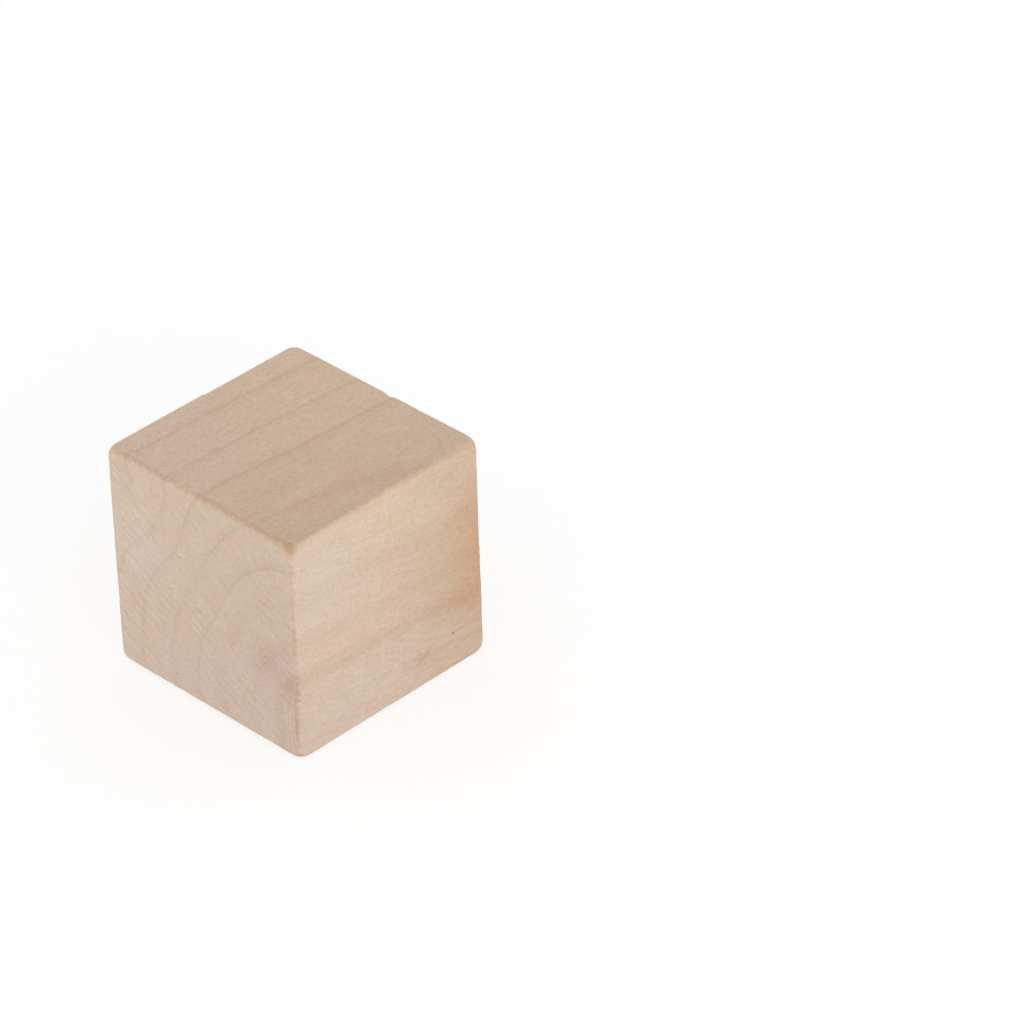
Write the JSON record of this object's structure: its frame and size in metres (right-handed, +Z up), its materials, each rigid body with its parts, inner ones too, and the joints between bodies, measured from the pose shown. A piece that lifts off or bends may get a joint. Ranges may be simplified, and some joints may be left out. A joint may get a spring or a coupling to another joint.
{
  "type": "wooden cube",
  "caption": "Plain unfinished hardwood cube with eased edges and ball-rounded corners, for craft, desk and bench use.",
  "frame": {"origin": "middle of the face that the cube rests on", "axes": "+Z up, +Y along the grain from one end-grain face to the other, +X across the grain"},
  "size_m": [0.0256, 0.0254, 0.0251],
  "materials": {
    "wood": "bare sanded hardwood, pale birch or maple, no varnish"
  },
  "bodies": {
    "root": {"wood_cube": "wood"}
  },
  "joints": []
}
